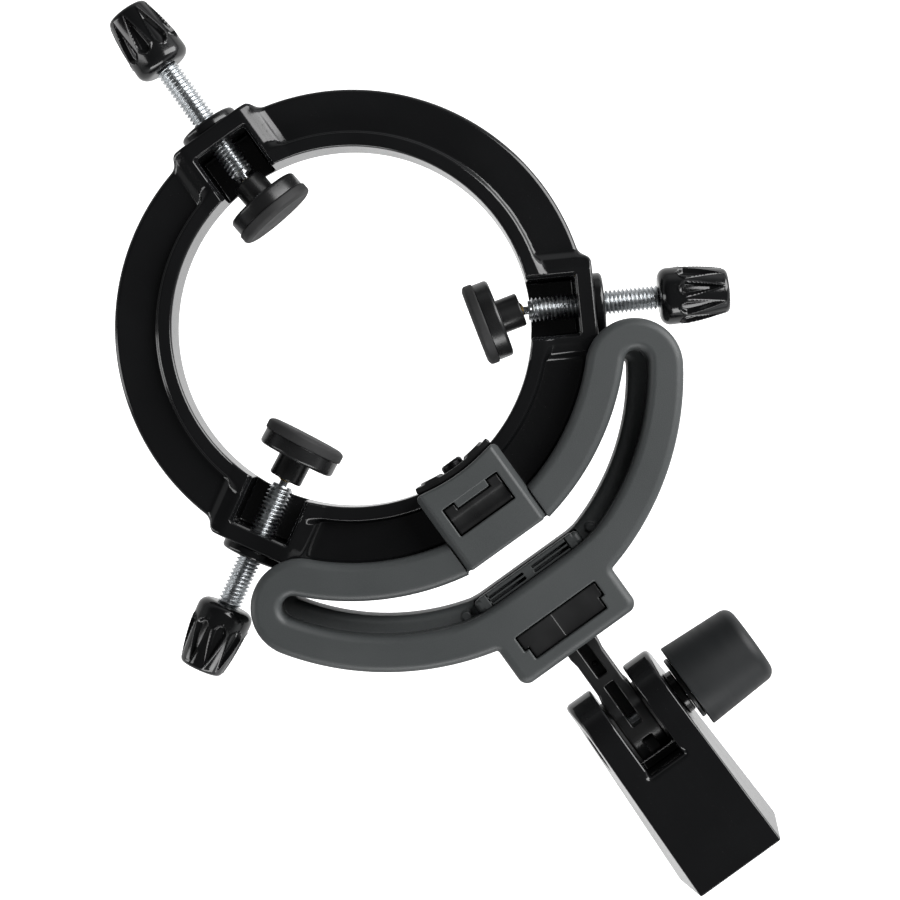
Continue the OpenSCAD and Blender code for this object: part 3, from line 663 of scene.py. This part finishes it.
def frame_field(x, y, z):
    d = -y
    rails = crescent(x, y, 57.0, 58.6, 25.0, 8.0)
    whole = either(rails, block(x, d, -14.5, 14.5, 74, 92, 1.5), 0.6)
    slot = crescent(x, y, 64.6, 58.1, 13.7, 1.0)
    slot = both(slot, -block(x, d, -15.2, 15.2, 70.0, 78, 0.4), 0.5)
    # the ledge in the slot is rolled down towards the opening and carries two studs
    low = both(cut(whole, slot, 0.3), slab(z, FRAME_Z, LEDGE_Z), 2.0)
    low = both(low, np.abs(z) - 8.0, 0.5)
    stud = both(np.hypot(np.abs(x) - 18.2, d - 72.1) - 1.2, slab(z, 2, LEDGE_Z + 0.7), 0.5)
    low = either(low, stud, 0.4)
    high = both(cut(whole, shell_slot(x, y), 0.3), slab(z, 0, SHELL_Z), 0.3)
    rear = both(cut(whole, slot, 0.3), slab(z, FRAME_Z, 0), 0.5)
    solid = np.minimum(np.minimum(low, high), rear)
    tongue = block(x, d, -CLIP_HALF, CLIP_HALF, HOLE_R, 60, 1.5)
    solid = either(solid, both(tongue, slab(z, TONGUE_Z, FRAME_Z), 0.5), 0.2)
    # hollow back of the rails, with screw posts
    hollow = common(
        np.hypot(x, d - 25) - 56.0,
        60.7 - np.hypot(x, d - 13.7),
        np.abs(x) - 38,
        15.2 - np.abs(x),
        50 - d,
    )
    for at in SHELL_SCREWS:
        hollow = common(hollow, 3.6 - from_screw(x, d, at))
    solid = cut(solid, common(hollow, z - 1.0), 0.3)
    # room for the arm's tang and the grille
    solid = drill(solid, common(block(x, d, -ARM_HALF, ARM_HALF, 77.5, 95), ARM_BACK_Z - z))
    solid = drill(solid, common(block(x, d, -15, 15, GRILLE_FROM, GRILLE_TO), -z))
    for at in SHELL_SCREWS:
        away = from_screw(x, d, at)
        solid = common(solid, PILOT_R - away)
        solid = cut(solid, common(away - HEAD_R, z + 3.6), 0.2)
    for at in ARM_SCREWS:
        away = np.hypot(x, d - at)
        solid = drill(solid, common(away - PILOT_R, z - 1))
        solid = cut(solid, common(away - HEAD_R, z + 6.4), 0.2)
    # room for the two lower bosses and their feet
    for angle in (SIDES["left"], SIDES["right"]):
        c, s = polar(angle)
        u, v = x * c + y * s, y * c - x * s
        solid = cut(solid, common(np.abs(v) - 11.8, u - 58.6), 0.3)
        solid = cut(solid, common(np.abs(v) - 13.2, u - 57.5), 0.3)
    seat = common(np.abs(x) - CLIP_HALF, d - CLIP_TO, 8.0 - z)
    behind = common(np.abs(x) - CLIP_HALF, d - CLIP_TO - 2, CLIP_TO - d)
    solid = cut(solid, np.minimum(seat, behind), 0.2)
    return drill(solid, common(np.hypot(x, z) - 1.5, slab(d, 50, 63)))


def clip_field(x, y, z):
    d = -y
    rho = np.hypot(x, y)
    box = block(x, d, -CLIP_HALF, CLIP_HALF, CLIP_FROM, CLIP_TO, 1.8)
    slope = ((np.abs(x) - CLIP_HALF + 1.4) * 2.2 + (z - CLIP_TOP) * 1.3) / 2.555
    solid = both(both(box, z - CLIP_TOP, 0.9), slope, 0.5)
    solid = both(solid, 43.2 - rho, 0.7)
    solid = both(solid, 8.0 - z, 0.2)
    # the skirt reaches down to the flange outside the lip
    skirt = common(
        np.abs(x) - CLIP_HALF, FLANGE_Z - z, z - 9, LIP_R - rho, rho - RING_R, CLIP_FROM - d
    )
    solid = np.minimum(solid, skirt)
    hollow = common(block(x, d, -10, 10, 46.6, 61.8, 0.4), z - CLIP_TOP + 1.2)
    solid = cut(solid, hollow, 0.2)
    opening = common(block(x, d, -7.9, 7.9, 48, 55.7, 0.3), 11 - z)
    solid = cut(solid, opening, 0.3)
    tab = both(block(x, d, -4.5, 4.5, 46, 49.7, 0.3), slab(z, CLIP_TOP - 1.6, CLIP_TOP - 0.2), 0.2)
    return np.minimum(solid, tab)


def latch_field(x, y, z):
    d = -y
    body = both(block(x, d, -7.55, 7.55, 48.35, 55.35, 0.2), slab(z, FLANGE_Z, 14.9), 0.25)
    notch = common(block(x, d, -4.85, 4.85, 46, 50.1, 0.2), 13.5 - z)
    finger_groove = np.hypot(d - 52.7, z - 17.6) - 3.2
    return cut(cut(body, notch, 0.2), finger_groove, 0.2)


def saddle_field(x, y, z):
    d = -y
    rho = np.hypot(x, y)
    turn = np.degrees(np.arctan2(np.abs(x), d))
    edge = (turn - 14.5) / 57.3 * 42
    heights = common(z - 8.0, BACK_Z - z)
    plate = both(both(np.abs(rho - 42.25) - 0.75, heights, 0.4), edge, 0.4)
    plate = common(plate, 20 - d)
    # raised pads on both sides of the screw
    hump = both(np.hypot(np.abs(x) - 6.0, (z - 3) * 0.5) - 2.8, 40.9 - rho, 0.4)
    hump = common(both(hump, rho - 42, 0.3), z - 7.7)
    plate = either(plate, hump, 0.5)
    return cut(plate, common(np.hypot(x, z) - SADDLE_SCREW_R, y + 30), 0.2)


def grille_field(x, y, z):
    d = -y
    body = block(x, d, -13.6, 13.6, GRILLE_FROM, GRILLE_TO, 0.5)
    body = both(body, slab(z, 0, GRILLE_TOP), 0.4)
    for d0, d1 in ((71.25, 71.85), (72.35, 73.1)):
        slit = block(np.abs(x), d, 1.25, 11.3, d0, d1, 0.15)
        body = cut(body, common(slit, 5.0 - z), 0.15)
    end_tab = block(np.abs(x), d, 11.7, GRILLE_HALF, 70.5, GRILLE_TO, 1.0)
    end_tab = both(end_tab, slab(z, 0, GRILLE_TOP), 1.1)
    groove = common(block(np.abs(x), d, 11.35, 11.65, 70, 74), 7.6 - z)
    return np.minimum(cut(body, groove, 0.1), end_tab)


# ------------------------------------------------------------ arm and block

HINGE_D = 117.2
EYE_R, BOLT_R = 8.6, 3.05
BLOCK_FROM, BLOCK_TO, BLOCK_Z = 104.2, 158.3, 12.5


def arm_field(x, y, z):
    d = -y
    across = np.abs(x) - ARM_HALF + 0.4 * blend01((d - 95) / 3) * blend01((108 - d) / 2)
    eye = np.hypot(d - HINGE_D, z) - EYE_R
    beam = block(d, z, 77.75, HINGE_D, ARM_BACK_Z, -ARM_BACK_Z, 0.4)
    # a wide blend in front, and a small one where the block's web and the eye's room are close
    blend = 0.8 + 5.2 * blend01(z / 3) * blend01((HINGE_D - 3 - d) / 4)
    side = either(beam, eye, blend)
    solid = both(side, across, 0.7)
    stem = both(block(x, d, -ARM_HALF, ARM_HALF, 82.8, 89.2), slab(z, 0, 10.2), 0.3)
    head = both(window(x, d, -0.3), slab(z, SHELL_Z + 0.05, SHELL_TOP - 0.8), 0.3)
    solid = np.minimum(np.minimum(solid, stem), head)
    parting_line = np.hypot(x + 1.4, z - SHELL_TOP + 0.74) - 0.12
    solid = cut(solid, parting_line, 0.05)
    # pockets in front and back, shallower round the eye
    for d0, d1 in ((92.0, 102.6), (105.0, 116.6), (120.4, 127.0)):
        pocket = block(x, d, -1.35, 1.35, d0, d1, 0.4)
        floor = 1.5 + 2.2 * blend01((d - 117) / 5)
        solid = cut(solid, common(pocket, floor - np.abs(z)), 0.35)
    pip = both(np.hypot(x, d - 99.6) - 0.55, slab(z, 0, 3.2), 0.3)
    solid = either(solid, pip, 0.2)
    solid = common(solid, BOLT_R - np.hypot(d - HINGE_D, z))
    for at in ARM_SCREWS:
        solid = drill(solid, common(np.hypot(x, d - at) - PILOT_R, z - 2))
    return solid


def block_field(x, y, z):
    d = -y
    along = np.clip((d - BLOCK_FROM) / (BLOCK_TO - BLOCK_FROM), 0, 1)
    down = np.clip((BLOCK_Z - z) / (2 * BLOCK_Z), 0, 1)
    # wider towards its end and towards its back, and slightly flared round the ears
    half = (21.8 + 1.8 * along) / 2 * (1 - down) + (25 + 4 * along) / 2 * down
    half = half + 0.45 * blend01((112 - d) / 8)
    sides = (np.abs(x) - half) * 0.994
    nose = HINGE_D - BLOCK_FROM
    profile = np.where(
        d < HINGE_D, np.hypot((d - HINGE_D) * BLOCK_Z / nose, z) - BLOCK_Z, np.abs(z) - BLOCK_Z
    )
    ear = blend01((HINGE_D - 4 - d) / 6)
    solid = both(profile, sides, 0.5 + 0.9 * ear)
    solid = both(solid, d - BLOCK_TO, 0.5)
    solid = both(solid, both(sides, d - BLOCK_TO, 0.6 + 2.0 * down), 0.4)
    around = np.hypot(d - HINGE_D, z)
    boss = both(around - 5.6, slab(x, 6, 13.6), 0.3)
    solid = either(solid, boss, 0.4)
    # the gap is open above and round the eye, and closed by a web behind its lower end
    reach = np.minimum(common(d - 128.1, -z), np.minimum(d - 123.4, around - 9.0))
    gap = both(np.abs(x) - 4.8, reach, 0.3)
    low = blend01((d - 126.1) / 2)
    solid = cut(solid, gap, 0.6 + 1.0 * low)
    solid = common(solid, BOLT_R - around)
    # seat of the bolt's hexagonal head
    hexagon = common(np.abs(z), np.abs(z) * 0.5 + np.abs(d - HINGE_D) * 0.866) - 5.02
    solid = cut(solid, common(hexagon, x + 7.4), 0.25)
    socket = common(np.hypot(x, z) - 8.0, 132.3 - d)
    solid = cut(solid, socket, 0.6)
    clamp_hole = common(np.hypot(x, d - 145.3) - 3.0, z)
    return cut(solid, clamp_hole, 0.3)


# ------------------------------------------------------------ build the carved pieces

STEP = 0.4
# node, body, material, field, low corner, high corner and cell size as a share of STEP
CARVED = [
    ("ring", "ring_frame", "gloss_black", ring_field,
     (-58.5, -58.5, -8), (58.5, 58.5, 8), 1.0),
    ("yoke_shell", "ring_frame", "satin_grey", shell_field,
     (-73, -93.6, 8.2), (73, -20, 14.2), 1.0),
    ("yoke_frame", "ring_frame", "satin_grey", frame_field,
     (-60, -92, -10.6), (60, -30, 8.2), 1.0),
    ("clip_cover", "ring_frame", "satin_grey", clip_field,
     (-12, -63.8, 5.5), (12, -41.5, 15.6), 0.6),
    ("clip_latch", "ring_frame", "moulded_black", latch_field,
     (-8, -55.5, 5.5), (8, -48, 15), 0.5),
    ("clip_saddle", "ring_frame", "moulded_black", saddle_field,
     (-11, -43.2, -8), (11, -39, 8), 0.5),
    ("slot_grille", "ring_frame", "satin_grey", grille_field,
     (-15.2, -73.8, 0), (15.2, -70, 8.4), 0.4),
    ("arm", "ring_frame", "moulded_black", arm_field,
     (-12, -125.9, -8.7), (12, -77, 13.5), 0.6),
    ("clevis_block", "clamp_block", "gloss_black", block_field,
     (-14.6, -158.4, -12.6), (14.6, -104, 12.6), 1.0),
]
for node, body, material, field, low, high, share in CARVED:
    carve(node, body, material, field, low, high, STEP * share)

# ------------------------------------------------------------ turned pieces of the thumbscrews

PITCH = 1.0
ROD_R, ROOT_R, ROD_END_R = 2.95, 2.34, 2.45
THREAD_STEPS = 12  # outline points on each turn of thread
THUMB_R = {"top": 77.1, "left": 73.3, "right": 74.0}
SWIVEL_R = {"top": 42.0, "left": 38.2, "right": 38.9}
PAD_TILT = {"top": 5.0, "left": -3.4, "right": 15.4}
SCOOPS, SCOOP_FROM, SCOOP_LENGTH = 9, 4.6, 11.0
SCOOP_HALF, SCOOP_DEPTH, RIM_HEIGHT, RIM_WIDTH = 1.75, 1.05, 0.2, 0.26
KNOB_MEAN_R = 6.6


def thread(along, angle, radius):
    """M6 thread: crests, flanks and roots follow a right-hand helix and run out at both ends."""
    phase = (along / PITCH - angle / (2 * math.pi)) % 1.0
    tooth = np.clip((np.abs(phase - 0.5) * 2 - 0.16) / 0.62, 0, 1)
    cut_in = ROD_R - (ROD_R - ROOT_R) * tooth
    threaded = radius > 2.9
    return np.where(threaded, cut_in, radius)


def flutes(along, angle, radius):
    """Nine teardrop scoops with raised rims, round at the base end and pointed at the other."""
    off = (angle + math.pi / SCOOPS) % (2 * math.pi / SCOOPS) - math.pi / SCOOPS
    across = np.abs(off) * KNOB_MEAN_R
    t = np.clip((along - SCOOP_FROM) / SCOOP_LENGTH, 0, 1)
    # widest where the round end and the pointed end meet
    widest = 0.14
    round_end = np.sqrt(np.clip(t / widest, 0, 1))
    pointed_end = 1 - np.clip((t - widest) / (1 - widest), 0, 1) ** 1.35
    width = SCOOP_HALF * round_end * pointed_end
    inside = np.clip(1 - across / np.maximum(width, 1e-3), 0, 1)
    scoop = SCOOP_DEPTH * np.sqrt(blend01(inside * 2.0)) * np.clip(width / 0.8, 0, 1)
    rim_zone = (along > 4.2) & (along < 15.8)
    rim = RIM_HEIGHT * np.exp(-(((np.abs(across - width)) / RIM_WIDTH) ** 2)) * rim_zone
    outside = radius > 3.5
    return np.where(outside, radius - scoop + rim, radius)


def rod_outline(ball, end):
    """Pin behind the pad's ball, threaded rod, and the end that sits in the knob."""
    start = ball + 3.5
    rows = [(0, ball - 1.6), (1.5, ball - 1.6), (1.5, ball - 0.9), (1.0, ball - 0.9)]
    rows += [(1.0, start), (2.3, start)]
    count = int((end - start - 0.9) / PITCH * THREAD_STEPS)
    rows += [(ROD_R, start + 0.7 + i * PITCH / THREAD_STEPS) for i in range(count)]
    rows += [(ROOT_R, end), (ROD_END_R, end + 0.01), (ROD_END_R, end + 12), (0, end + 12)]
    return np.array(rows)


def knob_outline():
    """Closed outline: crowned taper with a bore for the rod's end."""
    quarter = [math.pi / 2 * i / 8 for i in range(1, 9)]
    rows = [(2.5, 0.0), (4.3, 0.0)]
    rows += [(4.5 + 2.4 * math.sin(a), 2.4 - 2.4 * math.cos(a)) for a in quarter]
    for t in (i / 60 for i in range(1, 61)):
        rows.append((6.9 - 1.5 * t**1.5 + 0.12 * math.sin(math.pi * t), 2.4 + 13.2 * t))
    rows += [(4.1 + 1.3 * math.cos(a), 15.6 + 1.3 * math.sin(a)) for a in quarter]
    rows += [(3.2, 17.0), (2.9, 16.75), (0, 16.7), (0, 12.0), (2.5, 12.0)]
    return np.array(rows)


# outlines of (radius, along, rounding) corners
COLLAR = fillet([
    (3.05, 54.0, 0), (4.95, 54.0, 0.2), (4.95, 58.3, 0), (7.4, 58.42, 0.3), (7.4, 60.7, 0.95),
    (4.2, 60.7, 0.2), (3.9, 60.45, 0.1), (3.05, 60.45, 0.15),
])
PAD = fillet([
    (0, -7.3, 0), (9.6, -7.3, 0.2), (9.6, -3.5, 0.9), (8.2, -3.5, 0.25), (8.0, -4.4, 0.2),
    (4.1, -4.4, 0.8), (4.1, 1.9, 0.5), (2.45, 1.9, 0.15), (2.68, 0.3, 0), (2.66, -0.3, 0),
    (2.2, -1.5, 0), (1.2, -2.45, 0), (0, -2.7, 0),
])
FACING = fillet([
    (0, -10.1, 0), (8.8, -10.1, 0.3), (10.0, -9.6, 0.9), (10.0, -7.3, 0.4), (0, -7.3, 0),
])
KNOB = fillet([
    (3.4, 14.8, 0), (11.0, 14.8, 0.35), (9.95, 34.1, 2.7), (0, 34.1, 0), (0, 28.4, 0),
    (3.4, 28.4, 0),
], 10)
WASHER = fillet([
    (3.05, 13.65, 0.1), (8.3, 13.65, 0.35), (8.3, 14.75, 0.3), (3.05, 14.75, 0.1),
])

for key, turn in SIDES.items():
    centre = axis_matrix((0, 0, 0), turn)
    c, s = polar(turn)
    ball, base = SWIVEL_R[key], THUMB_R[key]
    at_pad = axis_matrix((ball * c, ball * s, 0), turn + PAD_TILT[key])
    at_knob = axis_matrix((base * c, base * s, 0), turn)
    rod, screw, pad = rod_outline(ball, base), f"screw_{key}", f"pad_{key}"
    turned(f"bush_{key}", "ring_frame", "gloss_black", COLLAR, centre)
    turned(f"screw_rod_{key}", screw, "zinc_steel", rod, centre, 48, thread, 55)
    turned(f"thumb_knob_{key}", screw, "gloss_black", knob_outline(), at_knob, 288, flutes, 50)
    turned(pad, pad, "pad_black", PAD, at_pad)
    turned(f"pad_facing_{key}", pad, "pad_rubber", FACING, at_pad)

hinge = axis_matrix((0, -HINGE_D, 0), 0)
turned("hinge_knob", "hinge_knob", "satin_knob", KNOB, hinge, 192)
turned("thrust_washer", "knob_washer", "moulded_black", WASHER, hinge)

# ------------------------------------------------------------ CAD nodes that keep their own mesh

SLOTS = {part["node"]: part["material_slot"] for part in frame["record"]["subparts"]}
for node, item in frame["nodes"].items():
    item.data.materials.clear()
    item.data.materials.append(MATERIALS[SLOTS[node]])
    if not item.hide_render:
        soft = item.modifiers.new("edges", "BEVEL")
        soft.width = 0.15 * MM
        soft.segments = 2
        soft.limit_method = "ANGLE"
        soft.angle_limit = math.radians(40)

# ------------------------------------------------------------ stage

CAMERA_D = 620.0  # from the lens to the plane of AIM
CAMERA_X = 12.0  # the lens stands over this x and is shifted back to the picture's middle
AIM = Vector((1.74, -37.53, 6.5)) * MM
FRAME_W = 215.0  # width of what the camera sees in the plane of AIM
SENSOR = 36.0
camera_data = bpy.data.cameras.new("camera")
camera = add_object("camera", camera_data)
camera.location = Vector((CAMERA_X * MM, AIM.y, AIM.z + CAMERA_D * MM))
# the picture's right lies along (0.8115, -0.584) in the ring's plane
camera.rotation_euler = (0, 0, math.atan2(-0.584, 0.8115))
camera_data.shift_x, camera_data.shift_y = -0.0385, -0.0277
camera_data.sensor_width = SENSOR
camera_data.lens = SENSOR * CAMERA_D / FRAME_W
camera_data.clip_start, camera_data.clip_end = 0.05, 20
bpy.context.scene.camera = camera

# A pale floor lies behind the object, square to the view, and a soft white room surrounds it.
FLOOR_Z, FLOOR_HALF = -235.0, 2500.0
floor_mesh = bpy.data.meshes.new("floor")
corners = [(-1, -1), (1, -1), (1, 1), (-1, 1)]
fill_mesh(
    floor_mesh, [(FLOOR_HALF * a, FLOOR_HALF * b, FLOOR_Z) for a, b in corners], [(0, 1, 2, 3)]
)
pale = paint("floor")
# what the camera sees of it is white; its mirror image in the gloss parts is a little darker
seen = pale.new("ShaderNodeLightPath").outputs["Is Camera Ray"]
pale.finish(
    Base_Color=pale.mix(pale.noise(8, 2), (0.62, 0.62, 0.62), (0.65, 0.65, 0.65)),
    Roughness=0.9,
    Emission_Color=(1, 1, 1, 1),
    Emission_Strength=pale.ramp(seen, 0, 1, 0.12, 0.9),
)
floor_mesh.materials.append(pale.owner)
add_object("floor", floor_mesh)


def in_view(right, up, front):
    """A direction given along the picture's right, its up and towards the camera."""
    turn = Matrix.Rotation(camera.rotation_euler.z, 3, "Z")
    return turn @ Vector((right, up, front))


def softbox(name, direction, distance, width, height, power):
    """A soft rectangular light that faces the object's middle. Sizes in mm, power in watts."""
    data = bpy.data.lights.new(name, "AREA")
    data.shape = "RECTANGLE"
    data.size, data.size_y = width * MM, height * MM
    data.energy = power
    lamp = add_object(name, data)
    away = direction.normalized()
    lamp.location = AIM + away * distance * MM
    lamp.rotation_euler = away.to_track_quat("Z", "Y").to_euler()


softbox("box_right", in_view(0.70, 0.45, 0.55), 900, 600, 900, 13)
softbox("box_low", in_view(0.15, -0.88, 0.42), 900, 900, 300, 6)
softbox("box_left", in_view(-0.95, -0.1, 0.26), 1000, 250, 900, 3)

# The room is bright round the horizon, most of all on the picture's right, and dark behind the
# camera, so that flat black faces stay black.
world = bpy.data.worlds.new("room")
bpy.context.scene.world = world
room = Nodes(world, "Background", "Generated")
height = room.new("ShaderNodeSeparateXYZ", Vector=room.place).outputs["Z"]
by_height = room.ramp(height, 0.15, 0.62, 0.75, 0.06, "SMOOTHSTEP")
toward = room.new("ShaderNodeVectorMath")
toward.operation = "DOT_PRODUCT"
room.put(toward, 0, room.place)
room.put(toward, 1, in_view(0.94, -0.34, 0))
by_side = room.ramp(toward.outputs["Value"], -0.7, 0.5, 0.4, 1.3, "SMOOTHSTEP")
room.finish(Color=(0.93, 0.95, 0.96, 1), Strength=room.maths("MULTIPLY", by_height, by_side))
bpy.context.scene.view_settings.view_transform = "Standard"
